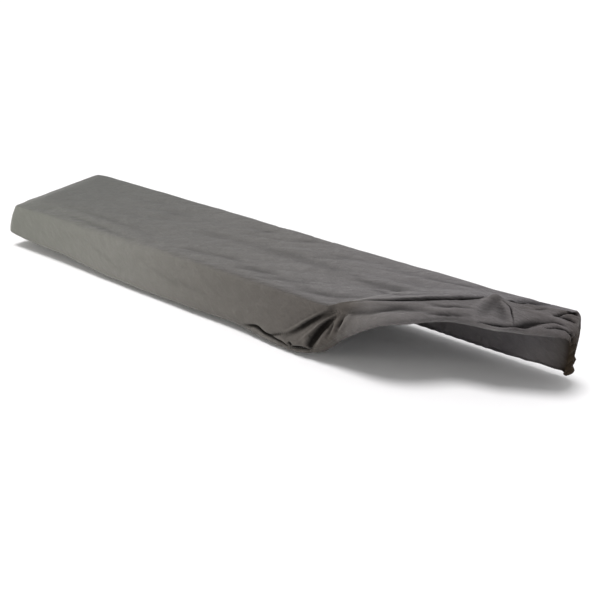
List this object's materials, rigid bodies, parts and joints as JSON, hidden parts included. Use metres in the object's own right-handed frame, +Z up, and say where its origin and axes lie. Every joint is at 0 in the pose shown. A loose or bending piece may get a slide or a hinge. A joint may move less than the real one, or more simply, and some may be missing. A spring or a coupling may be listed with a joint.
{
  "type": "keyboard dust cover",
  "caption": "Fitted stretch-knit dust cover with sewn box corners and an elastic hem, its front right corner lifted and folded back over the top.",
  "frame": {"origin": "middle of the underside of the top, where the covered instrument holds it up", "axes": "+X along the length to the right end, +Y to the back, +Z up"},
  "size_m": [1.2997, 0.3011, 0.1467],
  "materials": {
    "knit": "fine matt stretch knit"
  },
  "bodies": {
    "root": {"cover": "knit"}
  },
  "joints": []
}
